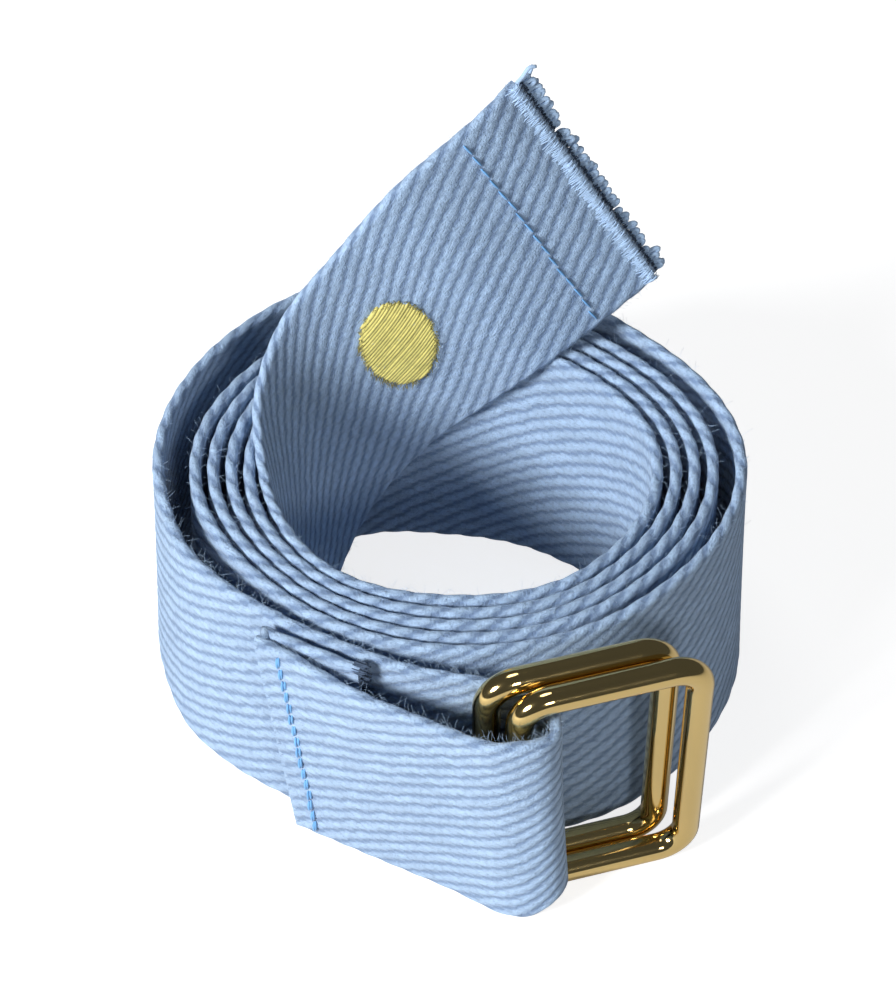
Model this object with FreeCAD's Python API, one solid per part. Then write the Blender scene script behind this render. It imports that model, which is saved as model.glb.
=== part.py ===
import FreeCAD, Part
import math
import os
from FreeCAD import Vector

# A cotton gait belt with a two-ring buckle, rolled up on its edge. Millimetres, +Z up.
# Everything is worked out about the middle of the coil, and is moved at the end so that
# the origin is the middle of the belt's footprint, on the surface it stands on.

# Webbing
WEB_WIDTH = 50.0
WEB_THICKNESS = 2.0

# Coil: distance of the webbing's middle from the coil's axis, at eight bearings in the
# order in which the webbing passes them, seen from above: clockwise from the west.
FIRST_PASS = (49.3, 46.3, 42.8, 42.4, 48.8, 43.3, 39.6, 39.8)
SECOND_PASS = (43.0, 37.8, 36.0, 37.4, 44.0, 40.2, 37.1, 37.5)
FIFTH_PASS = (33.9, 30.9, 26.7, 29.2, 34.6, 32.7, 29.6, 31.0)
BEARINGS = len(FIRST_PASS)
ENTRY_RADIUS = 45.1
TURNS = 5
FREE_END_START = 39.4
STRIP_SAMPLES = 4

# Buckle loop, from the coil's west point round the ring bars to the sewn end
LOOP_ROUTE = (
    (-49.3, 0.0), (-45.2, -16.6), (-37.5, -26.3), (-26.5, -34.1), (-18.0, -38.6),
    (-8.5, -42.9), (0.0, -45.1), (7.5, -46.4), (13.0, -48.2), (16.2, -51.6),
    (16.2, -55.6), (13.0, -57.8), (8.0, -57.2), (0.0, -53.0), (-9.0, -48.7),
    (-18.0, -44.3), (-27.5, -39.6),
)
LEAD_IN = 0.4
LOOP_END = len(LOOP_ROUTE) - 1
HEM_SPAN = 1.45
HEM_SPACING = 2.15
HEM_EDGE_SPAN = 0.09
HEM_EDGE_FILL = 0.8
BIGHT_FROM_X = (2.8, 6.0)
BIGHT_SPLIT_Y = -52.0
BIGHT_LOW = 6.5
BIGHT_HIGH = 49.5

# Free end: the lower edge and a point up the width, along the tail
TAIL_LOW = (
    (-22.9, 4.0, 3.0), (-15.5, 17.5, 13.0), (-4.5, 23.5, 25.0), (6.0, 23.0, 37.0),
    (15.5, 21.3, 48.8), (28.5, 28.0, 56.5), (35.0, 32.0, 60.0),
)
TAIL_HIGH = (
    (-31.5, -4.8, 52.0), (-32.5, 6.0, 58.5), (-28.0, 14.5, 68.0), (-19.5, 18.0, 80.0),
    (-8.7, 21.5, 92.0), (4.0, 29.5, 100.0), (10.0, 35.0, 103.0),
)
TAIL_SAMPLES = 3

# Rings
WIRE = 4.6
RING_HEIGHT = 50.5
RING_REACH = 30.0
RING_CORNER = 5.0
RING_FOOT = 0.5
RING_YAW = 15.5
FRONT_RING_BAR = (10.8, -53.7)
REAR_RING_BAR = (5.6, -50.0)

# Sewing
THREAD = 0.5
THREAD_GAP = 0.02
STITCHES = 16
STITCH_FILL = 0.82
LOOP_SEAM_FROM_FOLD = 4.0
SEAM_MARGIN = 1.5
END_SEAM_FROM_TIP = 12.5
DOT_DIAMETER = 13.0
DOT_THICKNESS = 0.5
DOT_GAP = 0.04
DOT_FROM_TIP = 44.0
DOT_UP_WIDTH = 26.1
DOT_FACING = (0.0, -0.63, 0.78)
WEFT_LOOPS = 14
WEFT_LOOP_RADIUS = 0.9
WEFT_YARN = 0.6

UP = Vector(0, 0, 1)
HALF_WEB = WEB_THICKNESS / 2


def blend(before, start, end, after, t):
    """Catmull-Rom blend between start and end."""
    return 0.5 * (
        2 * start
        + (end - before) * t
        + (2 * before - 5 * start + 4 * end - after) * t * t
        + (3 * start - before - 3 * end + after) * t * t * t
    )


def follow(points, place):
    """Point at a place along a list of points, where each whole number is a point."""
    index = min(int(place), len(points) - 2)
    start, end = points[index], points[index + 1]
    before = points[index - 1] if index > 0 else start * 2 - end
    after = points[index + 2] if index + 2 < len(points) else end * 2 - start
    return Vector(*(
        blend(before[i], start[i], end[i], after[i], place - index) for i in range(3)
    ))


def pass_radius(step):
    """Radius of the coil at the step-th bearing since the first pass of the west point."""
    if step < 0:
        return ENTRY_RADIUS
    turn, bearing = divmod(step, BEARINGS)
    if turn == 0:
        return FIRST_PASS[bearing]
    closing = (FIFTH_PASS[bearing] - SECOND_PASS[bearing]) / (TURNS - 2)
    return SECOND_PASS[bearing] + closing * (turn - 1)


def strap_point(place):
    """Middle of the standing webbing, on the floor.

    Places count eighths of a turn from the coil's west point. Below 0 they count the
    points of the buckle loop, backwards to its sewn end.
    """
    if place < 0:
        route = [strap_point(LEAD_IN)] + [Vector(x, y, 0) for x, y in LOOP_ROUTE]
        beyond = -place - LOOP_END
        if beyond > 0:
            return route[-1] + (route[-1] - route[-2]) * beyond
        return follow(route, 1 - place)
    step = math.floor(place + 1e-9)
    radius = blend(*(pass_radius(step + i) for i in (-1, 0, 1, 2)), place - step)
    angle = 2 * math.pi * place / BEARINGS
    return Vector(-radius * math.cos(angle), radius * math.sin(angle), 0)


def beside(place, offset):
    """Point beside the webbing's middle, to its left, seen towards the free end."""
    along = strap_point(place + 0.01) - strap_point(place - 0.01)
    return strap_point(place) + UP.cross(along.normalize()) * offset


def smooth_edge(points):
    curve = Part.BSplineCurve()
    curve.interpolate(points)
    return curve.toShape()


def standing_strip(start, end, right=-HALF_WEB, left=HALF_WEB):
    """Webbing standing on edge between two places and two distances from its middle."""
    count = max(2, round((end - start) * STRIP_SAMPLES))
    places = [start + (end - start) * i / count for i in range(count + 1)]
    left_side = [beside(place, left) for place in places]
    right_side = [beside(place, right) for place in places]
    edges = [
        smooth_edge(left_side),
        Part.makeLine(left_side[-1], right_side[-1]),
        smooth_edge(right_side),
        Part.makeLine(right_side[0], left_side[0]),
    ]
    return Part.Face(Part.Wire(Part.__sortEdges__(edges))).extrude(UP * WEB_WIDTH)


def buckle_loop():
    """The loop round the ring bars, crowded to less than its width where they leave it."""
    strip = standing_strip(-LOOP_END, 0)
    reach = 40.0
    inside, outside = BIGHT_FROM_X
    for low, high in ((-1.0, BIGHT_LOW), (BIGHT_HIGH, WEB_WIDTH + 1)):
        for from_x, from_y in ((inside, BIGHT_SPLIT_Y), (outside, BIGHT_SPLIT_Y - reach)):
            corner = Vector(from_x, from_y, low)
            strip = strip.cut(Part.makeBox(reach, reach, high - low, corner))
    return strip.Solids[0]


def turned_hem():
    """The sewn end turned under: the round fold and the layer inside it."""
    layer = standing_strip(
        -LOOP_END, HEM_SPAN - LOOP_END, HEM_SPACING - HALF_WEB, HEM_SPACING + HALF_WEB
    )
    middle = beside(-LOOP_END, HEM_SPACING / 2)
    across = (beside(-LOOP_END, 1) - beside(-LOOP_END, 0)) * (2 * HEM_SPACING)
    beyond = UP.cross(across)
    fold = Part.makeCylinder(HEM_SPACING / 2 + HALF_WEB, WEB_WIDTH, middle)
    keep = Part.Face(Part.makePolygon([
        middle + across, middle + across + beyond,
        middle - across + beyond, middle - across, middle + across,
    ])).extrude(UP * WEB_WIDTH)
    return layer.fuse(fold.common(keep).cut(standing_strip(-LOOP_END, 1 - LOOP_END))).Solids[0]


def hem_raw_edge():
    """The frayed cut edge of the turned-under layer."""
    start = HEM_SPAN - LOOP_END
    half = HALF_WEB * HEM_EDGE_FILL
    return standing_strip(start, start + HEM_EDGE_SPAN, HEM_SPACING - half, HEM_SPACING + half)


def tail_stations():
    """Lower edge points and unit directions up the width, from the coil to the tip."""
    lead_in = [strap_point(FREE_END_START + shift) for shift in (-0.3, 0.0)]
    low = lead_in + [Vector(*point) for point in TAIL_LOW]
    high = [point + UP * WEB_WIDTH for point in lead_in] + [Vector(*p) for p in TAIL_HIGH]
    return low, high


def tail_frame(place):
    """Lower edge point, direction up the width and face normal, at 0 to 1 along the tail."""
    low, high = tail_stations()
    last = len(low) - 1

    def edges(at):
        bottom = follow(low, at)
        return bottom, (follow(high, at) - bottom).normalize()

    at = 1 + place * (last - 1)
    bottom, across = edges(at)
    if place == 0:
        normal = beside(FREE_END_START, -1) - beside(FREE_END_START, 0)
        return bottom, across, normal
    middle = [
        edges(i)[0] + edges(i)[1] * (WEB_WIDTH / 2) for i in (at - 0.02, min(at + 0.02, last))
    ]
    return bottom, across, (middle[1] - middle[0]).cross(across).normalize()


def tail_layer(inner, outer):
    """A closed layer along the tail, between two distances from its middle surface."""
    sections = []
    count = TAIL_SAMPLES * len(TAIL_LOW)
    for index in range(count + 1):
        bottom, across, normal = tail_frame(index / count)
        top = bottom + across * WEB_WIDTH
        corners = [bottom + normal * inner, top + normal * inner,
                   top + normal * outer, bottom + normal * outer]
        sections.append(Part.makePolygon(corners + corners[:1]))
    return Part.makeLoft(sections, True, False)


def tail_length():
    count = 200
    points = []
    for index in range(count + 1):
        bottom, across, _ = tail_frame(index / count)
        points.append(bottom + across * (WEB_WIDTH / 2))
    return sum((b - a).Length for a, b in zip(points, points[1:]))


def tail_place(from_tip):
    """Place from 0 to 1 that lies a distance back from the tip, along the middle."""
    count = 400
    gone = 0.0
    last = None
    for index in range(count, -1, -1):
        bottom, across, _ = tail_frame(index / count)
        point = bottom + across * (WEB_WIDTH / 2)
        if last is not None:
            gone += (point - last).Length
        if gone >= from_tip:
            return index / count
        last = point
    return 0.0


def thread_bar(start, end):
    return Part.makeCylinder(THREAD / 2, (end - start).Length, start, end - start)


def stitch_row(place_at):
    """Separate stitches, where place_at gives a point at 0 to 1 along the seam."""
    stitches = []
    for index in range(STITCHES):
        middle = (index + 0.5) / STITCHES
        half = STITCH_FILL / STITCHES / 2
        stitches.append(thread_bar(place_at(middle - half), place_at(middle + half)))
    return Part.makeCompound(stitches)


def loop_seam(side):
    """Stitches on the outside of the loop (side 0) or on the inside of the hem (side 1)."""
    last_run = strap_point(1 - LOOP_END) - strap_point(-LOOP_END)
    lift = HALF_WEB + THREAD / 2 + THREAD_GAP
    offset = -lift if side == 0 else HEM_SPACING + lift
    foot = beside(LOOP_SEAM_FROM_FOLD / last_run.Length - LOOP_END, offset)
    run = WEB_WIDTH - 2 * SEAM_MARGIN
    return stitch_row(lambda part: foot + UP * (SEAM_MARGIN + run * part))


def end_seam(side):
    """Stitches across the tail near its tip, on its shown face (0) or its back (1)."""
    bottom, across, normal = tail_frame(tail_place(END_SEAM_FROM_TIP))
    lift = HALF_WEB + THREAD / 2 + THREAD_GAP
    out = normal * (lift if side == 0 else -lift)
    run = WEB_WIDTH - 2 * SEAM_MARGIN
    return stitch_row(lambda part: bottom + out + across * (SEAM_MARGIN + run * part))


def embroidery(side):
    """The oval embroidered mark on the tail's shown face (0), or its backing stitches (1).

    The mark is round as seen from the front and above, and oval on the webbing.
    """
    bottom, across, _ = tail_frame(tail_place(DOT_FROM_TIP))
    centre = bottom + across * DOT_UP_WIDTH
    facing = Vector(*DOT_FACING)
    punch = Part.makeCylinder(DOT_DIAMETER / 2, 20, centre - facing * 10, facing)
    low = HALF_WEB + DOT_GAP
    high = low + DOT_THICKNESS
    layer = tail_layer(low, high) if side == 0 else tail_layer(-high, -low)
    return layer.common(punch).Solids[0]


def weft_loops():
    """Small yarn loops left along the cut end of the webbing."""
    bottom, across, normal = tail_frame(1.0)
    onward = across.cross(normal).normalize()
    if onward.dot(Vector(*TAIL_LOW[-1]) - Vector(*TAIL_LOW[-2])) < 0:
        onward = onward * -1
    reach = WEFT_LOOP_RADIUS + WEFT_YARN / 2 + THREAD_GAP
    loops = []
    for index in range(WEFT_LOOPS):
        foot = bottom + across * (WEB_WIDTH * (index + 0.5) / WEFT_LOOPS)
        centre = foot + onward * reach - normal * (HALF_WEB / 2)
        loops.append(Part.makeTorus(WEFT_LOOP_RADIUS, WEFT_YARN / 2, centre, normal))
    return Part.makeCompound(loops)


def ring(bar):
    """A closed rectangular wire ring standing upright, its captured bar at the given place."""
    along = Vector(math.cos(math.radians(RING_YAW)), math.sin(math.radians(RING_YAW)), 0)
    low = RING_FOOT + WIRE / 2
    base = Vector(bar[0], bar[1], low)
    r = RING_CORNER

    def at(reach, height):
        return base + along * reach + UP * height

    edges = []
    corners = ((0, RING_HEIGHT), (RING_REACH, RING_HEIGHT), (RING_REACH, 0), (0, 0))
    directions = ((0, 1), (1, 0), (0, -1), (-1, 0))
    start = at(0, RING_HEIGHT / 2)
    middle_bar = start
    for index, (reach, height) in enumerate(corners):
        before = directions[index]
        after = directions[(index + 1) % 4]
        enter = at(reach - before[0] * r, height - before[1] * r)
        leave = at(reach + after[0] * r, height + after[1] * r)
        hub = at(reach + (after[0] - before[0]) * r, height + (after[1] - before[1]) * r)
        corner = at(reach, height)
        crest = hub + (corner - hub).normalize() * r
        edges.append(Part.makeLine(start, enter))
        edges.append(Part.Arc(enter, crest, leave).toShape())
        start = leave
    edges.append(Part.makeLine(start, middle_bar))
    section = Part.Wire([Part.makeCircle(WIRE / 2, middle_bar, UP)])
    return Part.Wire(edges).makePipeShell([section], True, False)


def build():
    nodes = {"strap_turned_hem": turned_hem(), "strap_buckle_loop": buckle_loop()}
    for turn in range(TURNS):
        end = min((turn + 1) * BEARINGS, FREE_END_START)
        nodes["strap_turn_%d" % (turn + 1)] = standing_strip(turn * BEARINGS, end)
    nodes["strap_free_end"] = tail_layer(-HALF_WEB, HALF_WEB)
    nodes["hem_raw_edge"] = hem_raw_edge()
    nodes["ring_front"] = ring(FRONT_RING_BAR)
    nodes["ring_rear"] = ring(REAR_RING_BAR)
    nodes["loop_seam_needle_thread"] = loop_seam(0)
    nodes["loop_seam_bobbin_thread"] = loop_seam(1)
    nodes["end_seam_needle_thread"] = end_seam(0)
    nodes["end_seam_bobbin_thread"] = end_seam(1)
    nodes["embroidered_dot"] = embroidery(0)
    nodes["embroidery_backing"] = embroidery(1)
    nodes["weft_loops"] = weft_loops()
    return nodes


def strap_length(start, end, offset=0.0):
    """Length along the standing webbing between two places."""
    count = max(1, round((end - start) * 20))
    points = [beside(start + (end - start) * i / count, offset) for i in range(count + 1)]
    return sum((b - a).Length for a, b in zip(points, points[1:]))


parts = build()
whole = FreeCAD.BoundBox()
for shape in parts.values():
    whole.add(shape.optimalBoundingBox(False, False))
shift = Vector(-(whole.XMin + whole.XMax) / 2, -(whole.YMin + whole.YMax) / 2, 0)
os.makedirs("parts", exist_ok=True)
for name, shape in parts.items():
    shape.translate(shift)
    shape.exportStep("parts/%s.step" % name)

lengths = {
    "hem": strap_length(-LOOP_END, HEM_SPAN - LOOP_END, HEM_SPACING),
    "loop": strap_length(-LOOP_END, 0),
    "coil": strap_length(0, FREE_END_START),
    "free end": tail_length(),
}
print("strap stretches", {k: round(v, 1) for k, v in lengths.items()},
      "whole strap", round(sum(lengths.values()), 1))
print("coil axis at", round(shift.x, 3), round(shift.y, 3))
for name, bar in (("front", FRONT_RING_BAR), ("rear", REAR_RING_BAR)):
    print(name, "ring bar at", round(bar[0] + shift.x, 3), round(bar[1] + shift.y, 3))
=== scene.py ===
"""Rolled gait belt: cotton webbing on edge, a buckle of wire rings, and a frayed free end."""

import math
import random

import bmesh
import bpy
import numpy as np
from bpy.props import FloatProperty, FloatVectorProperty, IntProperty, PointerProperty
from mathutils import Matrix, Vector


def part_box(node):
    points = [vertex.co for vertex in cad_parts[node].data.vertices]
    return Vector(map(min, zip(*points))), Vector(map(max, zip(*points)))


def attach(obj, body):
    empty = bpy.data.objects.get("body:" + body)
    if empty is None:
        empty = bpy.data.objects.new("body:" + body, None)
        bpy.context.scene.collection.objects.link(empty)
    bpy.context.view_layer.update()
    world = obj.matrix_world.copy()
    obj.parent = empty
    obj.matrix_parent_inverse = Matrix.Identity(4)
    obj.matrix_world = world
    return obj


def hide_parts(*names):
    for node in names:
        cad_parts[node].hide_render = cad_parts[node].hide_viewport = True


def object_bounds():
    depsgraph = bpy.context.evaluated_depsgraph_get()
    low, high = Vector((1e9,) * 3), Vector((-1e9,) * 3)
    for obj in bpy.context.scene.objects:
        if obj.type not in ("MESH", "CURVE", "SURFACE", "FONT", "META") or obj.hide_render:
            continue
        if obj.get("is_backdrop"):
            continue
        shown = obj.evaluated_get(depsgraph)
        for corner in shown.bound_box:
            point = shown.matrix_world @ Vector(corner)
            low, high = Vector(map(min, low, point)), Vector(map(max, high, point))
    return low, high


bl_info = {
    "name": "Rolled gait belt",
    "version": (1, 0, 0),
    "blender": (4, 5, 0),
    "location": "3D View > Sidebar > Gait belt",
    "description": "Webbing, sewing, rings and stage of a rolled gait belt",
    "category": "Object",
}

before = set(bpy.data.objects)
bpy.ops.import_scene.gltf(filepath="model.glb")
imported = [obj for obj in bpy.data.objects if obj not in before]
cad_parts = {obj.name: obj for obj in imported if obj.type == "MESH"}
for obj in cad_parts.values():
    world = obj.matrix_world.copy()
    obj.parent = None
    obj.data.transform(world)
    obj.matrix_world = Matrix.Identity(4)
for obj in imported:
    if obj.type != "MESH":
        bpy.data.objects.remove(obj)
CAD_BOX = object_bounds()
MM = 0.001
UP = np.array([0.0, 0.0, 1.0])
EAST = np.array([1.0, 0.0, 0.0])
WIDTH = 50.0

# Lengths from here on are in millimetres about the coil's axis. A place on the strap counts
# eighths of a turn of the coil from its west point, and points of LOOP_ROUTE below 0.

# Coil: distance of the webbing's middle from the axis, at eight bearings in the order in which
# it passes them, clockwise from the west.
FIRST_PASS = (49.3, 46.3, 42.8, 42.4, 48.8, 43.3, 39.6, 39.8)
SECOND_PASS = (43.0, 37.8, 36.0, 37.4, 44.0, 40.2, 37.1, 37.5)
FIFTH_PASS = (33.9, 30.9, 26.7, 29.2, 34.6, 32.7, 29.6, 31.0)
BEARINGS = len(FIRST_PASS)
ENTRY_RADIUS = 45.1
TURNS = 5
FREE_END_START = 39.4
LEAD_IN = 0.4

# Buckle loop, from the coil's west point round the ring bars to the sewn end. The hem is
# turned in behind the sewn end, HEM_SPACING from middle to middle.
LOOP_ROUTE = (
    (-49.3, 0.0), (-45.2, -16.6), (-37.5, -26.3), (-26.5, -34.1), (-18.0, -38.6),
    (-8.5, -42.9), (0.0, -45.1), (7.5, -46.4), (13.0, -48.2), (16.2, -51.6),
    (16.2, -55.6), (13.0, -57.8), (8.0, -57.2), (0.0, -53.0), (-9.0, -48.7),
    (-18.0, -44.3), (-27.5, -39.6),
)
LOOP_END = len(LOOP_ROUTE) - 1
HEM_SPAN = 1.45
HEM_SPACING = 2.15

# How far the lower edge stands outside the upper one, at the eight bearings of the coil
OUTER_LEAN = (2.4, 2.2, 1.0, 1.0, 2.0, 4.2, 2.6, 2.6)
INNER_LEAN = (0.0, -1.0, -3.2, -3.0, 0.3, 1.0, 0.0, 0.0)

# Free end: points of its lower edge, and points beyond the middle of its width above them
TAIL_LOW = (
    (-22.9, 4.0, 3.0), (-15.5, 17.5, 13.0), (-4.5, 23.5, 25.0), (6.0, 23.0, 37.0),
    (15.5, 21.3, 48.8), (28.5, 28.0, 56.5), (35.0, 32.0, 60.0),
)
TAIL_HIGH = (
    (-31.5, -4.8, 52.0), (-32.5, 6.0, 58.5), (-28.0, 14.5, 68.0), (-19.5, 18.0, 80.0),
    (-8.7, 21.5, 92.0), (4.0, 29.5, 100.0), (10.0, 35.0, 103.0),
)

# Sewing and the embroidered mark, which is round as seen along MARK_FACING
LOOP_SEAM_PLACE = 0.38
END_SEAM_FROM_TIP = 12.5
STITCHES = 16
STITCH_FILL = 0.86
STITCH_POINTS = 7
SEAM_MARGIN = 1.5
MARK_FROM_TIP = 44.8
MARK_HEIGHT = 25.0
MARK_RADIUS = 6.5
MARK_FACING = np.array([0.0, -0.63, 0.78]) / math.hypot(0.63, 0.78)
SATIN_SPACING = 0.66
SATIN_SLOPE = -0.17
RIM_HAIRS = 260

# The direction in which the loop's sewn end runs out
END_WEST = np.array([-0.896, 0.443, 0.0])

# Frayed edges and loose fibres
BRUSH_YARNS = 900
CORE_YARNS = 420
HEM_EDGE_YARNS = 150
COIL_HAIRS = 3400
TAIL_HAIRS = 900
STRAY_YARNS = (
    # height, then distance back, rise and lift at four points
    (49.3, (1.0, -1.5, -3.2, -4.3), (0, 0.4, 1.2, 0.6), (0.4, 0.7, 1.2, 1.4)),
    (47.0, (1.0, -2.0, -3.6, -4.6), (0, 0.2, 0.9, 1.5), (-1.2, -1.4, -1.6, -1.6)),
    (45.6, (1.0, -1.8, -3.2, -3.8), (0, -0.3, -0.4, 0.3), (-1.2, -1.5, -1.7, -1.6)),
    (0.8, (1.0, -1.6, -2.8, -3.2), (0, -0.2, -0.9, -0.2), (-0.9, -1.2, -1.4, -1.4)),
)

# Weave: each end's floats lie a third of the repeat further on than its neighbour's. A float is
# 1 / FLOAT_NARROWING ends wide and 1 / FLOAT_SHORTENING repeats long, and leans by FLOAT_SLANT
# ends over a repeat. NEIGHBOURS are the ends whose floats can reach over an end.
ENDS_PER_ROW = 3
FLOAT_SLANT = 1.3
FLOAT_NARROWING = 0.52
FLOAT_SHORTENING = 1.42
NEIGHBOURS = (-2, -1, 0, 1, 2)
UV_AROUND = 100

# Stage, in metres and watts: name, place, diameter and power of each light
LIGHTS = (
    ("key", (-0.88, -0.66, 0.72), 0.42, 23.5),
    ("overhead", (-0.20, 0.30, 1.10), 0.40, 1.4),
    ("front_strip", (0.30, -1.00, 0.70), 0.25, 3.0),
)
LIGHT_TARGET = (0, 0, 0.04)
FLOOR_SIZE = 3.0
CAMERA_PLACE = np.array([-0.52, -344.0, 463.3])
CAMERA_ABOVE_LEVEL = 51
CAMERA_LENS = 115.2


class WebbingSizes(bpy.types.PropertyGroup):
    width: FloatProperty(
        name="Width", description="Width of the webbing, selvedge to selvedge",
        default=0.05, unit="LENGTH")
    thickness: FloatProperty(
        name="Thickness", description="Thickness of the webbing between its yarns' hollows",
        default=0.00172, unit="LENGTH")
    relief: FloatProperty(
        name="Relief", description="Height of the yarn floats over the hollows",
        default=0.00015, unit="LENGTH")
    rows: IntProperty(
        name="Rows", description="Rows of floats round the webbing, both faces and edges",
        default=33)
    float_length: FloatProperty(
        name="Float length", description="Distance along the webbing that the weave repeats in",
        default=0.0049, unit="LENGTH")


class BeltColours(bpy.types.PropertyGroup):
    cotton: FloatVectorProperty(
        name="Cotton", description="Colour of the webbing's yarn",
        default=(0.40, 0.56, 0.78), subtype="COLOR")
    # Painted shade: the weave's hollows take this colour in place of the shade that falls in them,
    # and so do the darker fibre streaks; at lower levels it also colours the cut's core and the
    # hem's raw edge as painted shade.
    grain_and_hollow_shade: FloatVectorProperty(
        name="Hollows", description="Colour deep between the yarns",
        default=(0.19, 0.28, 0.45), subtype="COLOR")
    worn: FloatVectorProperty(
        name="Worn cotton", description="Colour that the yarn has faded to in patches",
        default=(0.47, 0.62, 0.84), subtype="COLOR")
    sheen: FloatVectorProperty(
        name="Cotton sheen", description="Colour of the light on the cotton's fine fibres",
        default=(0.75, 0.87, 1.0), subtype="COLOR")
    seam: FloatVectorProperty(
        name="Seam thread", description="Colour of the sewing thread",
        default=(0.20, 0.50, 0.92), subtype="COLOR")
    embroidery: FloatVectorProperty(
        name="Embroidery", description="Colour of the embroidery thread",
        default=(0.90, 0.80, 0.25), subtype="COLOR")
    ring: FloatVectorProperty(
        name="Rings", description="Colour of the polished ring wire",
        default=(0.82, 0.60, 0.25), subtype="COLOR")


# ---------------------------------------------------------------- paths


def follow(points, places):
    """Catmull-Rom points at places along a list, where each whole number is a point."""
    points = np.asarray(points, float)
    padded = np.vstack([2 * points[0] - points[1], points, 2 * points[-1] - points[-2]])
    index = np.clip(np.floor(places).astype(int), 0, len(points) - 2)
    t = (places - index)[:, None]
    before, start, end, after = (padded[index + i] for i in range(4))
    return 0.5 * (
        2 * start
        + (end - before) * t
        + (2 * before - 5 * start + 4 * end - after) * t ** 2
        + (3 * start - before - 3 * end + after) * t ** 3
    )


def coil_radii():
    """Radii at every eighth of a turn, from one place before the coil's start."""
    radii = [ENTRY_RADIUS, *FIRST_PASS]
    for turn in range(TURNS):
        share = turn / (TURNS - 2)
        radii += [a + (b - a) * share for a, b in zip(SECOND_PASS, FIFTH_PASS)]
    return np.array(radii)[:, None]


def coil_points(places):
    """Middle of the webbing in the coil, where places count eighths of a turn."""
    radius = follow(coil_radii(), places + 1)[:, 0]
    angle = 2 * math.pi * places / BEARINGS
    return np.stack([-radius * np.cos(angle), radius * np.sin(angle)], 1)


def strap_points(places):
    """Middle of the standing webbing: coil from 0 on, and buckle loop below 0."""
    lead = coil_points(np.array([LEAD_IN]))
    loop = follow(np.vstack([lead, LOOP_ROUTE]), 1 - np.minimum(places, 0))
    coil = coil_points(np.maximum(places, 0))
    return np.where((places < 0)[:, None], loop, coil)


def up_the_width(heights):
    """Share of the width below a height."""
    return np.clip(heights / WIDTH, 0, 1)


def lean(places, heights):
    """How far the standing webbing is off the upright, to its left, at a height."""
    amounts = []
    for turn in range(TURNS + 1):
        share = min(turn / (TURNS - 1), 1.0)
        amounts += [a + (b - a) * share for a, b in zip(OUTER_LEAN, INNER_LEAN)]
    amount = follow(np.array(amounts)[:, None], np.clip(places, 0, FREE_END_START))[:, 0]
    amount = amount * np.clip(1 + places / 5, 0, 1)
    return amount * (1 - up_the_width(heights)) ** 1.2


def unit(vectors):
    """The vectors at length 1."""
    return vectors / np.linalg.norm(vectors, axis=-1, keepdims=True)


def arc_length(points):
    """Distance along a line of points, from its first one."""
    steps = np.linalg.norm(np.diff(points, axis=0), axis=1)
    return np.concatenate([[0.0], np.cumsum(steps)])


def in_space(flat):
    """Points of the ground plan at height 0."""
    return np.hstack([flat, np.zeros((len(flat), 1))])


def standing_frames(places, beside=0.0):
    """Foot, direction to the left and direction up the width, at places on the strap."""
    along = unit(strap_points(places + 0.01) - strap_points(places - 0.01))
    left = np.stack([-along[:, 1], along[:, 0]], 1)
    foot = strap_points(places) + left * beside
    return in_space(foot), in_space(left), np.tile(UP, (len(places), 1))


def tail_frames(places):
    """Lower edge, direction to the left and direction up the width, at 0 to 1 on the tail."""
    lead = in_space(strap_points(FREE_END_START + np.array([-0.3, 0.0])))
    low, high = np.vstack([lead, TAIL_LOW]), np.vstack([lead + UP * WIDTH, TAIL_HIGH])
    last = len(low) - 1

    def edges(at):
        bottom = follow(low, at)
        return bottom, unit(follow(high, at) - bottom)

    def middle(at):
        bottom, across = edges(at)
        return bottom + across * WIDTH / 2

    at = 1 + places * (last - 1)
    bottom, across = edges(at)
    along = middle(np.minimum(at + 0.02, last)) - middle(at - 0.02)
    return bottom, -unit(np.cross(along, across)), across


def hem_frames(count):
    """Frames from the hem's raw end round its fold to the end of the loop."""
    inner = standing_frames(np.linspace(HEM_SPAN, 0, count) - LOOP_END, HEM_SPACING)
    foot, left, _ = standing_frames(np.array([float(-LOOP_END)]))
    centre = foot[0] + left[0] * HEM_SPACING / 2
    back = -np.cross(left[0], UP)
    feet, lefts = [inner[0]], [-inner[1]]
    for angle in np.linspace(0, math.pi, 9)[1:]:
        out = left[0] * math.cos(angle) - back * math.sin(angle)
        feet.append([centre + out * HEM_SPACING / 2])
        lefts.append([-out])
    feet, lefts = np.vstack(feet), np.vstack(lefts)
    return feet, lefts, np.tile(UP, (len(feet), 1))


def coil_axis():
    """Where the coil's axis stands, from the low corner of the outermost turn's box."""
    low = np.array(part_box("strap_turn_1")[0]) / MM
    outer_face = standing_frames(np.linspace(0, BEARINGS, 400), 1.0)[0]
    return np.append(low[:2] - outer_face.min(0)[:2], 0.0)


AXIS = coil_axis()


# ---------------------------------------------------------------- set of the webbing


def skew_end(place, weight):
    """The loop's sewn end, which is folded a little out of square."""
    shift = -1.6 + 6.0 * np.clip(place[:, 2] / WIDTH, 0, 1.05)
    near = np.clip((-4.0 - place[:, 0]) / 22, 0, 1)
    near = near * near * (3 - 2 * near)
    return place + END_WEST * (shift * near * weight)[:, None]


def bend_standing(place, places, left):
    """The coil's webbing off the upright."""
    return place + left * lean(places, place[:, 2])[:, None]


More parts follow.
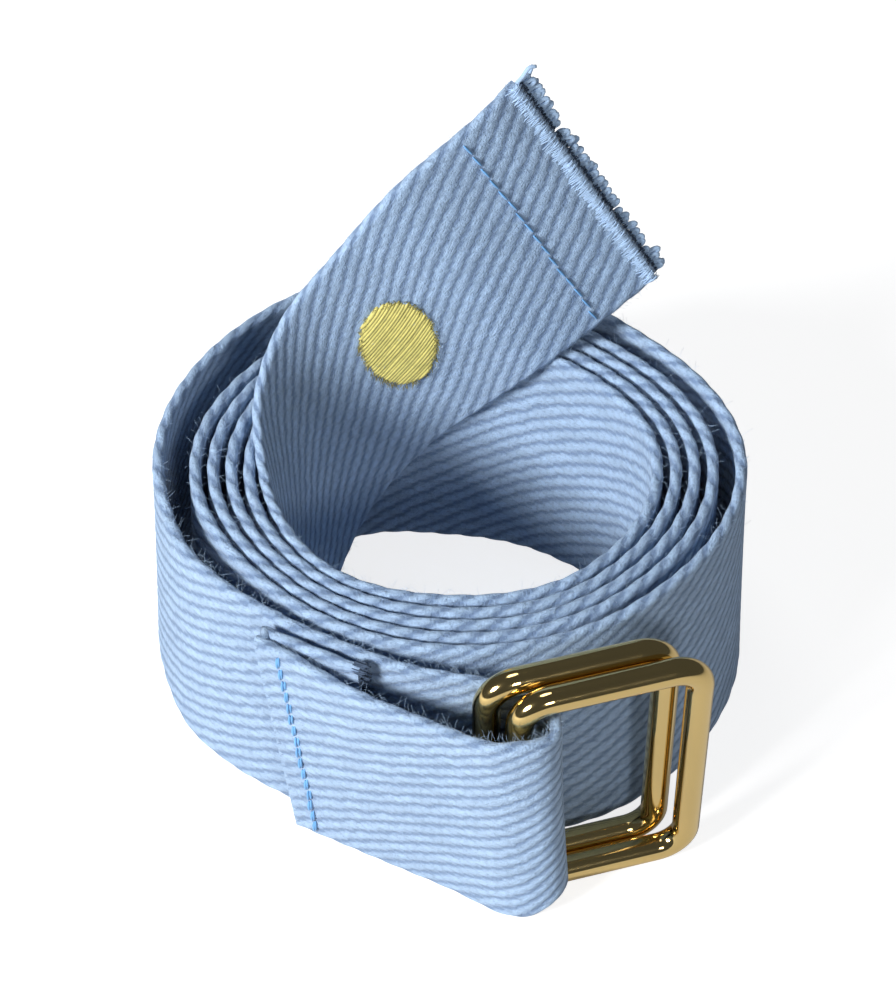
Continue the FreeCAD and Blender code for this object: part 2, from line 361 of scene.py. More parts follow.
def bend_loop(place, places, left):
    """The loop crowded between the rings' bars, flared below, and skewed at its end.

    Each of these centres on a point of LOOP_ROUTE and fades out within a few points of it.
    """
    place = bend_standing(place, places, left)
    heights, past_coil = place[:, 2], -places
    crowded = np.exp(-((past_coil - 9.2) / 2.0) ** 4)
    place = place + UP * (crowded * (6.0 - heights * 6.8 / WIDTH))[:, None]
    flare = np.exp(-((past_coil - 10.9) / 1.7) ** 2) * (1 - up_the_width(heights)) ** 1.4
    place = place - (left * 1.6 - EAST * 1.9) * flare[:, None]
    sag = np.exp(-((past_coil - 13.5) / 1.7) ** 4) * up_the_width(heights)
    place = place - (left * 1.9 + UP * 1.3) * sag[:, None]
    return skew_end(place, np.clip(past_coil - 11.5, 0, 1))


def tail_table():
    """Distance from the tip, and the frame, at places along the free end."""
    foot, left, across = tail_frames(np.linspace(0, 1, 801))
    along = arc_length(foot + across * WIDTH / 2)
    return along[-1] - along, foot, left, across


TAIL = tail_table()


def on_tail(backs, heights, lifts):
    """Points on the free end, from distances back from the tip, up the width and off the middle.

    Lifts are towards the face that carries the mark.
    """
    backs, heights, lifts = (np.asarray(v, float) for v in (backs, heights, lifts))
    from_tip, *frames = (v[::-1] for v in TAIL)
    foot, left, across = (
        np.stack([np.interp(backs, from_tip, v[:, axis]) for axis in range(3)], -1)
        for v in frames
    )
    onward = np.cross(frames[1][0], frames[2][0])
    beyond = np.minimum(backs, 0)[..., None] * -onward
    return foot + across * heights[..., None] - left * lifts[..., None] + beyond


def mark_reach(backs, heights):
    """How far points on the free end are from the embroidered mark's axis."""
    offset = on_tail(backs, heights, 1.0) - on_tail(MARK_FROM_TIP, MARK_HEIGHT, 0.0)
    return np.linalg.norm(offset - MARK_FACING * (offset @ MARK_FACING)[..., None], axis=-1)


def mark_point(angle, reach):
    """Distance back and height of the point at an angle and distance from the mark's axis."""
    low, high = 0.0, 20.0
    step = np.array([math.cos(angle), math.sin(angle)])
    for _ in range(24):
        middle = (low + high) / 2
        back, height = np.array([MARK_FROM_TIP, MARK_HEIGHT]) + step * middle
        if mark_reach(back, height) < reach:
            low = middle
        else:
            high = middle
    return np.array([back, height])


def stitches():
    """Heights of each stitch's points across the webbing, and their arch from 0 to 1."""
    pitch = (WIDTH - 2 * SEAM_MARGIN) / STITCHES
    reach = np.linspace(-1, 1, STITCH_POINTS) * pitch * STITCH_FILL / 2
    arch = np.sin(np.linspace(0, math.pi, STITCH_POINTS))
    return [(SEAM_MARGIN + pitch * (i + 0.5) + reach, arch) for i in range(STITCHES)]


# ---------------------------------------------------------------- weave


def section_marks(thickness, width):
    """Distances round the section at which its left face, top, right face and end begin.

    The way round starts at the middle of the lower edge and runs up the left face.
    """
    flat, half_arc = width - thickness, math.pi * thickness / 4
    return (
        half_arc, half_arc + flat, 3 * half_arc + flat, 3 * half_arc + 2 * flat,
        4 * half_arc + 2 * flat)


def section(around, thickness, width):
    """Points and normals of the webbing's section, from shares of the way round it."""
    radius = thickness / 2
    left_begins, top_begins, right_begins, bottom_begins, total = section_marks(thickness, width)
    at = np.mod(around, 1.0) * total
    side, height = np.empty_like(at), np.empty_like(at)
    normal_side, normal_up = np.empty_like(at), np.empty_like(at)
    left_face = (at > left_begins) & (at <= top_begins)
    top = (at > top_begins) & (at <= right_begins)
    right_face = (at > right_begins) & (at <= bottom_begins)
    bottom = ~(left_face | top | right_face)
    side[left_face] = radius
    height[left_face] = (at - left_begins + radius)[left_face]
    normal_side[left_face], normal_up[left_face] = 1, 0
    side[right_face] = -radius
    height[right_face] = (width - radius - (at - right_begins))[right_face]
    normal_side[right_face], normal_up[right_face] = -1, 0
    since_bottom = np.where(at > total / 2, at - total, at) + left_begins
    for edge, angle, centre in (
        (top, (at - top_begins) / radius, width - radius),
        (bottom, since_bottom / radius + math.pi, radius),
    ):
        normal_side[edge], normal_up[edge] = np.cos(angle[edge]), np.sin(angle[edge])
        side[edge] = radius * normal_side[edge]
        height[edge] = centre + radius * normal_up[edge]
    return side, height, normal_side, normal_up


def section_steps(left, top, right, bottom=4):
    """Shares of the way round the section, with a number of steps on each side of it."""
    sizes = bpy.context.scene.belt_webbing
    marks = section_marks(sizes.thickness / MM, sizes.width / MM)
    marks = np.array([0.0, *marks]) / marks[-1]
    counts = (bottom // 2, left, top, right, bottom // 2)
    shares = [
        np.linspace(a, b, count, endpoint=False)
        for a, b, count in zip(marks, marks[1:], counts)
    ]
    return np.concatenate(shares)


def yarn_relief(along, around, rows, repeat):
    """Height of the weave, from 0 in the hollows to 1 on the yarns."""
    ends = around * rows * ENDS_PER_ROW
    height = np.zeros_like(ends)
    for neighbour in NEIGHBOURS:
        end = np.floor(ends + 1e-6) + neighbour
        lengthwise = along / repeat + end / ENDS_PER_ROW
        lengthwise = lengthwise - np.floor(lengthwise) - 0.5
        across = ends - end - 0.5 + lengthwise * FLOAT_SLANT
        yarn = np.cos(math.pi * np.clip(across * FLOAT_NARROWING, -0.5, 0.5))
        arched = np.cos(math.pi * np.clip(lengthwise * FLOAT_SHORTENING, -0.5, 0.5))
        height = np.maximum(height, np.sqrt(np.clip(yarn * arched, 0, 1)))
    return height


# ---------------------------------------------------------------- mesh helpers


def welded(mesh):
    """The mesh as a bmesh with its doubled points joined. The mesh itself is removed."""
    bm = bmesh.new()
    bm.from_mesh(mesh)
    bpy.data.meshes.remove(mesh)
    bmesh.ops.remove_doubles(bm, verts=bm.verts, dist=1e-7)
    return bm


def finish_mesh(bm, name, material):
    """The bmesh as a smooth piece that faces outward and rides on the belt."""
    bmesh.ops.recalc_face_normals(bm, faces=bm.faces)
    mesh = bpy.data.meshes.new(name)
    bm.to_mesh(mesh)
    bm.free()
    mesh.shade_smooth()
    mesh.materials.append(material)
    piece = bpy.data.objects.new(name, mesh)
    bpy.context.scene.collection.objects.link(piece)
    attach(piece, "belt")
    return piece


def numbered_grid(rows, columns):
    """A grid with the row and column of each of its points, and of each face corner."""
    bm = bmesh.new()
    bm.loops.layers.uv.new("Webbing")
    bmesh.ops.create_grid(
        bm, x_segments=rows - 1, y_segments=columns - 1, size=0.5, calc_uvs=True)
    mesh = bpy.data.meshes.new("grid")
    bm.to_mesh(mesh)
    bm.free()
    steps = np.array([rows - 1, columns - 1])
    points = np.empty(len(mesh.vertices) * 3)
    mesh.vertices.foreach_get("co", points)
    corners = np.empty(len(mesh.loops) * 2)
    mesh.uv_layers["Webbing"].data.foreach_get("uv", corners)
    points = np.rint((points.reshape(-1, 3)[:, :2] + 0.5) * steps).astype(int)
    corners = np.rint(corners.reshape(-1, 2) * steps).astype(int)
    return mesh, points.T, corners.T


def lay_webbing(name, frames, start, around, bend=None):
    """A stretch of webbing as a closed tube: a grid wrapped round the webbing's section."""
    sizes = bpy.context.scene.belt_webbing
    width = sizes.width / MM
    foot, left, up = frames
    around = np.append(around, around[0] + 1.0)
    mesh, (row, column), (corner_row, corner_column) = numbered_grid(len(foot), len(around))
    middle = arc_length(foot + up * width / 2)
    distance = start + middle
    lift = sizes.relief / MM * yarn_relief(
        distance[row], around[column], sizes.rows, sizes.float_length / MM)
    side, height, normal_side, normal_up = section(around, sizes.thickness / MM, width)
    side = side[column] + normal_side[column] * lift
    height = height[column] + normal_up[column] * lift
    place = foot[row] + left[row] * side[:, None] + up[row] * height[:, None]
    if bend is not None:
        place = bend(place, row)
    mesh.vertices.foreach_set("co", ((place + AXIS) * MM).ravel())
    uv = np.stack([distance[corner_row], around[corner_column] * UV_AROUND], 1)
    mesh.uv_layers["Webbing"].data.foreach_set("uv", uv.ravel())
    mesh.update()
    bm = welded(mesh)
    rim = [edge for edge in bm.edges if edge.is_boundary]
    for edge in rim:
        edge.smooth = False
    bmesh.ops.holes_fill(bm, edges=rim, sides=0)
    piece = finish_mesh(bm, name, webbing_material())
    return piece


def lay_threads(name, paths, radius, material, taper=1.0, sides=6):
    """Round threads along paths, in millimetres, as one mesh with closed ends."""
    curve = bpy.data.curves.new(name, "CURVE")
    curve.dimensions = "3D"
    curve.bevel_depth = radius * MM
    curve.bevel_resolution = max(0, sides // 2 - 2)
    curve.use_fill_caps = True
    for path in paths:
        spline = curve.splines.new("POLY")
        spline.points.add(len(path) - 1)
        points = np.hstack([(np.asarray(path) + AXIS) * MM, np.ones((len(path), 1))])
        spline.points.foreach_set("co", points.ravel())
        narrowing = 1 - (1 - taper) * np.linspace(-1, 1, len(path)) ** 2
        spline.points.foreach_set("radius", narrowing)
    holder = bpy.data.objects.new(name, curve)
    bpy.context.scene.collection.objects.link(holder)
    mesh = bpy.data.meshes.new_from_object(
        holder.evaluated_get(bpy.context.evaluated_depsgraph_get()))
    bpy.data.objects.remove(holder)
    bpy.data.curves.remove(curve)
    return finish_mesh(welded(mesh), name, material)


# ---------------------------------------------------------------- materials


OBJECT_COORDINATES = 3


class Socket:
    """A shader value that takes part in Python arithmetic."""

    def __init__(self, tree, socket):
        self.tree, self.socket = tree, socket

    def math(self, operation, *values):
        return self.tree.node(
            "ShaderNodeMath", {"operation": operation}, dict(enumerate((self, *values))))

    def __add__(self, other):
        return self.math("ADD", other)

    def __mul__(self, other):
        return self.math("MULTIPLY", other)

    def __sub__(self, other):
        return self.math("SUBTRACT", other)

    def __rsub__(self, other):
        return self.tree.node(
            "ShaderNodeMath", {"operation": "SUBTRACT"}, {0: other, 1: self})

    def __truediv__(self, other):
        return self.math("DIVIDE", other)

    def __pow__(self, other):
        return self.math("POWER", other)

    def floor(self):
        return self.math("FLOOR")

    def cosine(self):
        return self.math("COSINE")

    def bell(self):
        """Cosine about 0, and 0 beyond a quarter turn on either side."""
        return self.math("ABSOLUTE").math("MINIMUM", math.pi / 2).cosine()


class Finish:
    """One material and its nodes."""

    def __init__(self, name):
        self.material = bpy.data.materials.new(name)
        self.material.use_nodes = True
        self.nodes = self.material.node_tree.nodes
        self.nodes.clear()

    def node(self, kind, settings=None, values=None, output=0):
        node = self.nodes.new(kind)
        for key, value in (settings or {}).items():
            setattr(node, key, value)
        for key, value in (values or {}).items():
            if isinstance(value, Socket):
                self.material.node_tree.links.new(value.socket, node.inputs[key])
            else:
                node.inputs[key].default_value = value
        return Socket(self, node.outputs[output])

    def noise(self, place, scale, detail, roughness=0.5, dimensions="3D"):
        return self.node(
            "ShaderNodeTexNoise", {"noise_dimensions": dimensions},
            {"Vector": place, "Scale": scale, "Detail": detail, "Roughness": roughness})

    def bump(self, height, strength, distance):
        return self.node(
            "ShaderNodeBump", {},
            {"Height": height, "Strength": strength, "Distance": distance})

    def mix(self, share, first, second):
        """One colour over another, by a share from 0 to 1."""
        return self.node(
            "ShaderNodeMix", {"data_type": "RGBA", "clamp_factor": True},
            {0: share, 6: first, 7: second}, output=2)

    def surface(self, **values):
        shader = self.node(
            "ShaderNodeBsdfPrincipled", {},
            {key.replace("_", " "): value for key, value in values.items()})
        out = self.nodes.new("ShaderNodeOutputMaterial")
        self.material.node_tree.links.new(shader.socket, out.inputs["Surface"])
        return self.material


def colour(rgb, level=1.0):
    """A colour at a level of brightness, with alpha."""
    return tuple(c * level for c in rgb) + (1.0,)


def woven_height(f, along, ends, drift, repeat):
    """The weave's height in the shader, and the end and float that a point lies on."""
    height = 0.0
    for neighbour in NEIGHBOURS:
        end = ends.floor() + float(neighbour)
        lengthwise = along / repeat + end / ENDS_PER_ROW + drift * 0.35
        which = lengthwise.floor()
        lengthwise = lengthwise - which - 0.5
        across = ends - end - 0.5 + lengthwise * FLOAT_SLANT
        yarn = (across * (math.pi * FLOAT_NARROWING)).bell()
        arched = (lengthwise * (math.pi * FLOAT_SHORTENING)).bell()
        height = (yarn * arched).math("MAXIMUM", height)
        if neighbour == 0:
            own_float = f.node("ShaderNodeCombineXYZ", {}, {0: end, 1: which})
    # The height dips along the picks and between the ends; the colour uses this height to paint
    # shade into these grooves and the hollows, and the bump uses it too.
    ends_between = (ends * math.pi + along * (math.pi / repeat)).cosine()
    picks = (along * (3 * math.pi / repeat)).cosine()
    height = height ** 0.5 - picks * picks * 0.16 - ends_between * ends_between * 0.05
    return height, own_float


def webbing_material():
    """The woven cotton, made once: floats and hollows, fibres, picks and worn patches, with shade
    painted into the hollows and along the picks.
    """
    found = bpy.data.materials.get("woven_cotton")
    if found:
        return found
    sizes, colours = bpy.context.scene.belt_webbing, bpy.context.scene.belt_colours
    repeat = sizes.float_length / MM
    f = Finish("woven_cotton")
    uv = f.node("ShaderNodeUVMap", {"uv_map": "Webbing"})
    along, around = (
        f.node("ShaderNodeSeparateXYZ", {}, {0: uv}, output=axis) for axis in (0, 1))
    drift = f.noise(uv, 0.35, 2.0, dimensions="2D") - 0.5
    ends = around * (sizes.rows * ENDS_PER_ROW / UV_AROUND) + drift * 0.3
    height, own_float = woven_height(f, along, ends, drift, repeat)
    tone = f.node("ShaderNodeTexWhiteNoise", {"noise_dimensions": "2D"}, {"Vector": own_float})
    strands = ends + along * (FLOAT_SLANT / repeat)
    stretched = f.node("ShaderNodeCombineXYZ", {}, {0: along * 1.5, 1: strands * 3.0})
    fibres = f.noise(stretched, 1.0, 3.0, 0.7, "2D")
    grain = f.noise(uv, 2.4, 3.0, 0.7, "2D")
    patches = f.noise(uv, 0.06, 3.0, dimensions="2D")
    cotton = f.mix(tone, colour(colours.cotton, 0.86), colour(colours.cotton, 1.10))
    worn = f.mix(patches * 0.5, cotton, colour(colours.worn))
    # Painted shade: where the weave's height is low, in the hollows and along the picks, the
    # colour goes over to the hollows colour; low fibre and grain noise darkens it the same way, as
    # the yarn's own streaks.
    shade = height * (fibres * 1.9 + grain * 1.7 - 0.62)
    return f.surface(
        Base_Color=f.mix(shade, colour(colours.grain_and_hollow_shade), worn),
        Normal=f.bump(height * 0.62 + fibres * 1.1 + grain * 0.9, 0.8, 0.00036),
        Roughness=0.92 - height * 0.12, Specular_IOR_Level=0.18,
        Sheen_Weight=0.35, Sheen_Roughness=0.45, Sheen_Tint=colour(colours.sheen))


def strand_finish(name, base, dark, roughness, sheen, scale=900.0):
    """A thread or yarn with fine fibres and uneven colour."""
    f = Finish(name)
    place = f.node("ShaderNodeTexCoord", output=OBJECT_COORDINATES)
    fibres, patches = f.noise(place, scale, 3.0), f.noise(place, scale / 5, 2.0)
    return f.surface(
        Base_Color=f.mix(fibres * 0.9 + patches * 0.8 - 0.35, dark, base),
        Roughness=roughness, Normal=f.bump(fibres, 0.6, 0.0001), Sheen_Weight=sheen,
        Specular_IOR_Level=0.3)


def thread_material():
    blue = bpy.context.scene.belt_colours.seam
    return strand_finish("sewing_thread", colour(blue), colour(blue, 0.6), 0.55, 0.2)


def yarn_material():
    cotton = bpy.context.scene.belt_colours.cotton
    return strand_finish("frayed_yarn", colour(cotton, 1.2), colour(cotton, 0.8), 0.9, 0.4)


# Painted shade: a dark copy of the cotton yarn, at 0.5 and 0.12 of the hollows colour, for the
# cut's core and the hem's raw edge, which stand in the shade between layers.
def painted_shade_yarn_material():
    grain_and_hollow_shade = bpy.context.scene.belt_colours.grain_and_hollow_shade
    return strand_finish("painted_shade_yarn", colour(grain_and_hollow_shade, 0.5), colour(grain_and_hollow_shade, 0.12), 0.95, 0.0)


def fuzz_material():
    cotton = bpy.context.scene.belt_colours.cotton
    return strand_finish("cotton_fuzz", colour(cotton, 0.95), colour(cotton, 0.7), 0.9, 0.4)


def embroidery_material():
    gold = bpy.context.scene.belt_colours.embroidery
    return strand_finish(
        "embroidery_thread", colour(gold), colour(gold, 0.55), 0.38, 0.1, scale=1400.0)


def rim_material():
    gold = bpy.context.scene.belt_colours.embroidery
    return strand_finish("embroidery_rim", colour(gold, 0.45), colour(gold, 0.12), 0.6, 0.0)


def ring_material():
    """Polished wire with a faint haze and uneven handling."""
    colours = bpy.context.scene.belt_colours
    f = Finish("polished_ring_wire")
    place = f.node("ShaderNodeTexCoord", output=OBJECT_COORDINATES)
    haze, handling = f.noise(place, 420.0, 3.0), f.noise(place, 90.0, 2.0)
    return f.surface(
        Base_Color=f.mix(handling, colour(colours.ring, 0.94), colour(colours.ring, 1.05)),
        Metallic=1.0, Roughness=haze * 0.05 + handling * 0.05 + 0.05,
        Normal=f.bump(haze, 0.03, 0.0001))


# ---------------------------------------------------------------- operators


class BELT_OT_strap(bpy.types.Operator):
    """Lay the webbing: hem, buckle loop, the turns of the coil and the free end"""

    bl_idname = "belt.strap"
    bl_label = "Strap"

    def execute(self, context):
        fine, edge = context.scene.belt_webbing.rows * ENDS_PER_ROW, 10
        coarse = fine // 3
        all_round = section_steps(fine, edge, fine)
        piece = lay_webbing(
            "webbing_hem", hem_frames(28), -20.0, all_round, lambda place, row: skew_end(place, 1))
        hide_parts("strap_turned_hem")
        places = np.linspace(-LOOP_END, 0, 290)
        frames = standing_frames(places)
        piece = lay_webbing(
            "webbing_buckle_loop", frames, 0.0, all_round,
            lambda place, row: bend_loop(place, places[row], frames[1][row]))
        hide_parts("strap_buckle_loop")
        start = arc_length(frames[0])[-1]
        for turn in range(TURNS):
            outermost, innermost = turn == 0, turn == TURNS - 1
            around = section_steps(
                fine if outermost else coarse, edge, fine if innermost else coarse)
            end = min((turn + 1) * BEARINGS, FREE_END_START)
            places = np.linspace(turn * BEARINGS, end, 360 if outermost or innermost else 300)
            frames = standing_frames(places)
            name = "turn_%d" % (turn + 1)
            piece = lay_webbing(
                "webbing_" + name, frames, start, around,
                lambda place, row: bend_standing(place, places[row], frames[1][row]))
            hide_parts("strap_" + name)
            start += arc_length(frames[0])[-1]
        piece = lay_webbing(
            "webbing_free_end", tail_frames(np.linspace(0, 1, 260)), start, all_round)
        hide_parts("strap_free_end")
        return {"FINISHED"}


def loop_seam(rng, lift):
    """Doubled stitches across the loop's sewn end."""
    foot, left, _ = standing_frames(np.array([LOOP_SEAM_PLACE - LOOP_END]))
    threads = []
    for heights, arch in stitches():
        lifts = lift + math.copysign(0.12, lift) * arch
        line = foot + UP * heights[:, None] + left * lifts[:, None]
        line[:, 0] += rng.uniform(-0.15, 0.15) + np.linspace(-0.12, 0.12, STITCH_POINTS)
        beside = line + (rng.uniform(0.3, 0.55), 0, 0.3)
        threads += [skew_end(line, 1), skew_end(beside, 1)]
    return threads


def end_seam(rng, lift):
    """Single stitches across the free end."""
    threads = []
    for heights, arch in stitches():
        wander = rng.uniform(-0.2, 0.2) + np.linspace(-0.15, 0.15, STITCH_POINTS)
        lifts = lift + math.copysign(0.10, lift) * arch
        threads.append(on_tail(END_SEAM_FROM_TIP + wander, heights, lifts))
    return threads


class BELT_OT_seams(bpy.types.Operator):
    """Sew the loop's end down and the stay seam near the free end's tip"""

    bl_idname = "belt.seams"
    bl_label = "Seams"

    def execute(self, context):
        finish = thread_material()
        rng = random.Random(4)
        for name, node, sew, lift, radius in (
            ("seam_loop_needle", "loop_seam_needle_thread", loop_seam, -1.25, 0.26),
            ("seam_loop_bobbin", "loop_seam_bobbin_thread", loop_seam, HEM_SPACING + 1.2, 0.26),
            ("seam_end_needle", "end_seam_needle_thread", end_seam, 1.12, 0.21),
            ("seam_end_bobbin", "end_seam_bobbin_thread", end_seam, -1.12, 0.21),
        ):
            piece = lay_threads(name, sew(rng, lift), radius, finish, taper=0.5)
            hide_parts(node)
        return {"FINISHED"}


def satin_stitches(rng, facing):
    """Threads side by side over the mark, on the face (1) or behind the webbing (-1)."""
    threads = []
    backs = np.linspace(MARK_FROM_TIP - 14, MARK_FROM_TIP + 14, 281)
    ease = np.sin(np.linspace(0, math.pi, 15)) ** 0.35
    for height in np.arange(MARK_HEIGHT - 13, MARK_HEIGHT + 13, SATIN_SPACING):
        heights = height + (backs - MARK_FROM_TIP) * SATIN_SLOPE
        inside = backs[mark_reach(backs, heights) < MARK_RADIUS]
        if len(inside) < 6:
            continue
        start = inside[0] - rng.uniform(0, 0.35)
        line = np.linspace(start, inside[-1] + rng.uniform(0, 0.35), len(ease))
        lifts = facing * (0.62 + (0.50 + rng.uniform(0, 0.10)) * ease)
        wander = height + rng.uniform(-0.06, 0.06)
        threads.append(on_tail(line, wander + (line - MARK_FROM_TIP) * SATIN_SLOPE, lifts))
    return threads


def rim_hairs(rng):
    """Short fibres that stand out round the mark."""
    hairs = []
    for _ in range(RIM_HAIRS):
        angle, reach = rng.uniform(0, 2 * math.pi), MARK_RADIUS * rng.uniform(0.93, 1.06)
        spot = mark_point(angle, reach)
        tip = mark_point(angle + rng.uniform(-0.06, 0.06), reach + rng.uniform(0.05, 0.4))
        lift = rng.uniform(0.2, 0.7)
        hairs.append(np.array([
            on_tail(*spot, 0.95), on_tail(*((spot + tip) / 2), 1.25 + lift / 2),
            on_tail(*tip, 1.1 + lift)]))
    return hairs


class BELT_OT_embroidery(bpy.types.Operator):
    """Embroider the round mark on the free end in satin stitch, with its backing"""

    bl_idname = "belt.embroidery"
    bl_label = "Embroidered mark"

    def execute(self, context):
        finish = embroidery_material()
        for name, node, facing, seed in (
            ("embroidery_satin", "embroidered_dot", 1, 11),
            ("embroidery_back", "embroidery_backing", -1, 12),
        ):
            threads = satin_stitches(random.Random(seed), facing)
            piece = lay_threads(
                name, threads, 0.43, finish, taper=0.75, sides=8)
            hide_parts(node)
        hairs = rim_hairs(random.Random(13))
        lay_threads("embroidery_fuzz", hairs, 0.05, rim_material())
        return {"FINISHED"}


def brushed_yarns(rng):
    """Yarn ends combed over the face along the cut."""
    yarns = []
    for index in range(BRUSH_YARNS):
        height = 0.5 + 49.0 * (index + rng.random()) / BRUSH_YARNS
        lift, drift = rng.uniform(0.85, 1.30), rng.uniform(-0.9, 0.9)
        reach = rng.uniform(-0.1, 0.7)
        backs = np.array([rng.uniform(1.2, 3.0), 0.9, 0.1, -reach])
        heights = height + drift * np.array([-0.5, 0.1, 0.5, 0.8])
        yarns.append(on_tail(backs, heights, lift + np.array([-0.35, 0.1, 0.05, -0.35])))
    return yarns


def core_yarns(rng):
    """Yarn ends inside the cut, coloured dark as painted shade of the gap between the webbing's
    two faces.
    """
    yarns = []
    for index in range(CORE_YARNS):
        height = 0.8 + 48.4 * (index + rng.random()) / CORE_YARNS
        lift, drift = rng.uniform(-0.1, 0.6), rng.uniform(-0.4, 0.4)
        backs = np.array([0.8, -0.5, -rng.uniform(0.7, 1.4)])
        heights = height + drift * np.array([0, 0.4, 1.0])
        yarns.append(on_tail(backs, heights, lift * np.array([1, 1, 1.3])))
    return yarns


def cut_loops(rng):
    """Loops of weft that stand out of the cut."""
    loops = []
    turn = np.linspace(-0.2, 1.2, 19) * 2 * math.pi
    bulge = 1 - np.cos(turn)
    height = 1.2
    while height < 49.5:
        size, lean_out = rng.uniform(0.40, 0.85), rng.uniform(-0.5, 0.5)
        backs = -1.1 - size * bulge * rng.uniform(0.9, 1.6)
        heights = height + size * 0.62 * np.sin(turn) + lean_out * bulge * 0.5
        lifts = -0.5 + rng.uniform(-0.3, 0.3) + 0.25 * bulge
        backs[0] = backs[-1] = 0.8
        loops.append(on_tail(backs, heights, lifts))
        height += rng.uniform(0.7, 1.9)
    return loops


def stray_yarns():
    """Long yarns that have come loose at the cut's corners."""
    yarns = []
    places = np.linspace(0, 3, 12)
    for height, *course in STRAY_YARNS:
        backs, rises, lifts = (
            follow(np.array(v, float)[:, None], places)[:, 0] for v in course)
        yarns.append(on_tail(backs, height + rises, lifts))
    return yarns


def hem_edge_yarns(rng):
    """Yarn ends of the hem's raw edge, thickest at its top corner, coloured dark as painted shade.
    """
    yarns = []
    foot, left, _ = standing_frames(np.array([HEM_SPAN - LOOP_END]), HEM_SPACING)
    foot, left = foot[0], left[0]
    along = np.cross(left, UP)
    for index in range(HEM_EDGE_YARNS):
        height = 50.4 - 49.8 * (index / HEM_EDGE_YARNS) ** 1.6
        reach = rng.uniform(0.4, 1.3)
        root = foot + UP * height + left * rng.uniform(-0.8, 0.8)
        tip = root + along * reach + left * rng.uniform(-0.4, 0.5)
        tip = tip + UP * rng.uniform(-0.3, 0.5)
        yarns.append(skew_end(np.array([root - along, (root + tip) / 2, tip]), 1))
    return yarns


class BELT_OT_frayed_edges(bpy.types.Operator):
    """Fray the cut edges: the free end's yarn ends and loops, and the hem's raw edge"""

    bl_idname = "belt.frayed_edges"
    bl_label = "Frayed edges"

    def execute(self, context):
        yarn, shaded = yarn_material(), painted_shade_yarn_material()
        rng = random.Random(21)
        lay_threads("cut_face_brush", brushed_yarns(rng), 0.13, yarn, taper=0.4)
        lay_threads("cut_core", core_yarns(rng), 0.17, shaded, taper=0.5)
        piece = lay_threads("weft_loops_at_cut", cut_loops(rng), 0.42, yarn, sides=8)
        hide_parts("weft_loops")
        lay_threads("stray_yarns", stray_yarns(), 0.42, yarn, taper=0.8)
        piece = lay_threads(
            "hem_cut_edge", hem_edge_yarns(rng), 0.20, shaded, taper=0.6)
        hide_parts("hem_raw_edge")
        return {"FINISHED"}


def coil_hairs(rng):
    """Loose fibres on the standing webbing, most of them along its top edge."""
    hairs = []
    for index in range(COIL_HAIRS):
        place = -LOOP_END + (FREE_END_START + LOOP_END) * (index + rng.random()) / COIL_HAIRS
        on_top = rng.random() < 0.8
        height = WIDTH if on_top else rng.uniform(1, 49)
        foot, left, _ = standing_frames(np.array([place]))
        foot, left = foot[0], left[0]
        side = rng.uniform(-1, 1) if on_top else math.copysign(1.05, rng.random() - 0.5)
        root = foot + left * side + UP * height
        out = UP * rng.uniform(0.1, 1) + left * side if on_top else left * side
        out = out + np.cross(left, UP) * rng.uniform(-1.2, 1.2)
        out = out / np.linalg.norm(out) * rng.uniform(0.4, 1.9)
        curl = np.array([rng.uniform(-0.5, 0.5) for _ in range(3)])
        line = np.array([root - out * 0.1, root + out * 0.5 + curl * 0.3, root + out + curl])
        bend = bend_loop if place < 0 else bend_standing
        hairs.append(bend(line, np.full(3, place), np.tile(left, (3, 1))))
    return hairs


def tail_hairs(rng):
    """Loose fibres on the free end's edges and faces."""
    hairs = []
    share = np.array([0, 0.5, 1.0])
    for _ in range(TAIL_HAIRS):
        edge = rng.random() < 0.6
        height = rng.choice((0.3, 49.7)) if edge else rng.uniform(1, 49)
        back = rng.uniform(0, 96)
        lift = rng.uniform(-1, 1) if edge else rng.choice((-1.1, 1.1))
        rise = math.copysign(rng.uniform(0.3, 1.5), height - 25) if edge else rng.uniform(-.5, .5)
        hop = rng.uniform(-0.5, 0.5) if edge else math.copysign(rng.uniform(0.3, 0.9), lift)
        drift = rng.uniform(-1.2, 1.2)
        hairs.append(on_tail(
            back + drift * share, height + rise * share ** 1.4, lift + hop * share))
    return hairs


class BELT_OT_surface_fuzz(bpy.types.Operator):
    """Scatter stray cotton fibres along the webbing's edges and over its faces"""

    bl_idname = "belt.surface_fuzz"
    bl_label = "Surface fuzz"

    def execute(self, context):
        rng = random.Random(31)
        hairs = coil_hairs(rng) + tail_hairs(rng)
        lay_threads("cotton_fuzz", hairs, 0.019, fuzz_material(), sides=3)
        return {"FINISHED"}


class BELT_OT_rings(bpy.types.Operator):
    """Give the two wire rings their polished finish"""

    bl_idname = "belt.rings"
    bl_label = "Rings"

    def execute(self, context):
        finish = ring_material()
        for name in ("ring_front", "ring_rear"):
            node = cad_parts[name]
            for slot in node.material_slots:
                slot.material = finish
            if not node.material_slots:
                node.data.materials.append(finish)
        return {"FINISHED"}


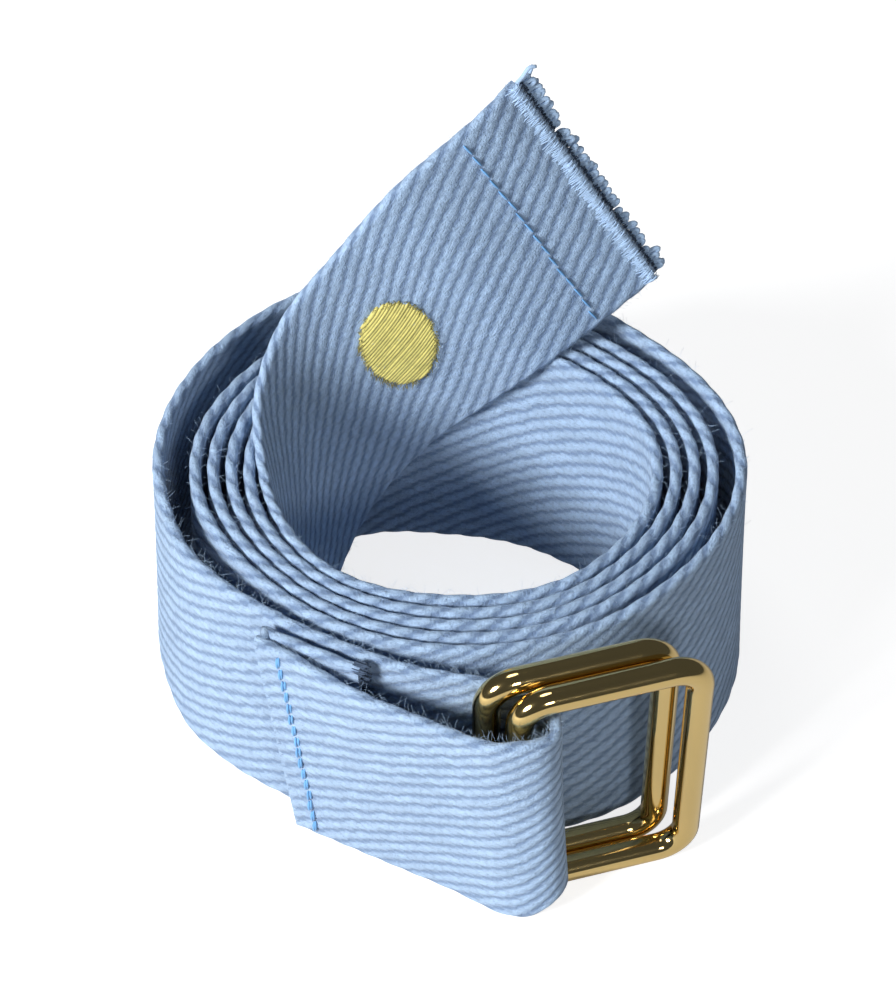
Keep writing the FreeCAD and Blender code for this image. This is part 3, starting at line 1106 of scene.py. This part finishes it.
class BELT_OT_stage(bpy.types.Operator):
    """Set the pale floor, the soft lights and the camera"""

    bl_idname = "belt.stage"
    bl_label = "Stage"

    def execute(self, context):
        scene = context.scene
        bm = bmesh.new()
        bmesh.ops.create_grid(bm, x_segments=1, y_segments=1, size=FLOOR_SIZE)
        mesh = bpy.data.meshes.new("floor")
        bm.to_mesh(mesh)
        bm.free()
        floor = bpy.data.objects.new("floor", mesh)
        scene.collection.objects.link(floor)
        f = Finish("pale_floor")
        seen = f.node("ShaderNodeLightPath", output=0)
        mesh.materials.append(f.surface(
            Base_Color=(0.50, 0.50, 0.50, 1), Roughness=0.9, Emission_Strength=0.80,
            Emission_Color=f.mix(seen, (0.14, 0.14, 0.14, 1), (1.0, 1.0, 1.0, 1))))
        floor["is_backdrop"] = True
        for name, place, size, power in LIGHTS:
            self.light(name, place, size, power)
        world = bpy.data.worlds.new("studio")
        scene.world = world
        world.use_nodes = True
        background = world.node_tree.nodes["Background"]
        background.inputs["Color"].default_value = (0.82, 0.90, 1.0, 1)
        background.inputs["Strength"].default_value = 0.08
        camera = bpy.data.objects.new("camera", bpy.data.cameras.new("camera"))
        camera.data.lens = CAMERA_LENS
        camera.data.clip_start = 0.01
        camera.location = (AXIS + CAMERA_PLACE) * MM
        camera.rotation_euler = (math.radians(90 - CAMERA_ABOVE_LEVEL), 0, 0)
        scene.collection.objects.link(camera)
        scene.camera = camera
        scene.view_settings.view_transform = "Standard"
        return {"FINISHED"}

    @staticmethod
    def light(name, place, size, power):
        """A round soft light that points at the belt."""
        data = bpy.data.lights.new(name, "AREA")
        data.shape, data.size, data.energy = "DISK", size, power
        lamp = bpy.data.objects.new(name, data)
        lamp.location = place
        aim = Vector(LIGHT_TARGET) - Vector(place)
        lamp.rotation_euler = aim.to_track_quat("-Z", "Y").to_euler()
        bpy.context.scene.collection.objects.link(lamp)


class BELT_PT_panel(bpy.types.Panel):
    bl_label = "Gait belt"
    bl_idname = "BELT_PT_panel"
    bl_space_type = "VIEW_3D"
    bl_region_type = "UI"
    bl_category = "Gait belt"

    def draw(self, context):
        for group in (context.scene.belt_webbing, context.scene.belt_colours):
            for name in group.__annotations__:
                self.layout.prop(group, name)
        for operator in OPERATORS:
            self.layout.operator(operator.bl_idname)


OPERATORS = (
    BELT_OT_strap, BELT_OT_seams, BELT_OT_embroidery, BELT_OT_frayed_edges,
    BELT_OT_surface_fuzz, BELT_OT_rings, BELT_OT_stage,
)
CLASSES = (WebbingSizes, BeltColours, *OPERATORS, BELT_PT_panel)


def register():
    for cls in CLASSES:
        bpy.utils.register_class(cls)
    bpy.types.Scene.belt_webbing = PointerProperty(type=WebbingSizes)
    bpy.types.Scene.belt_colours = PointerProperty(type=BeltColours)


def unregister():
    del bpy.types.Scene.belt_colours
    del bpy.types.Scene.belt_webbing
    for cls in reversed(CLASSES):
        bpy.utils.unregister_class(cls)


def main():
    register()
    bpy.ops.belt.strap()
    bpy.ops.belt.seams()
    bpy.ops.belt.embroidery()
    bpy.ops.belt.frayed_edges()
    bpy.ops.belt.surface_fuzz()
    bpy.ops.belt.rings()
    bpy.ops.belt.stage()
    boxes = {"cad": CAD_BOX, "visual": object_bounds()}
    boxes = {key: [list(corner) for corner in box] for key, box in boxes.items()}


if __name__ == "__main__":
    main()
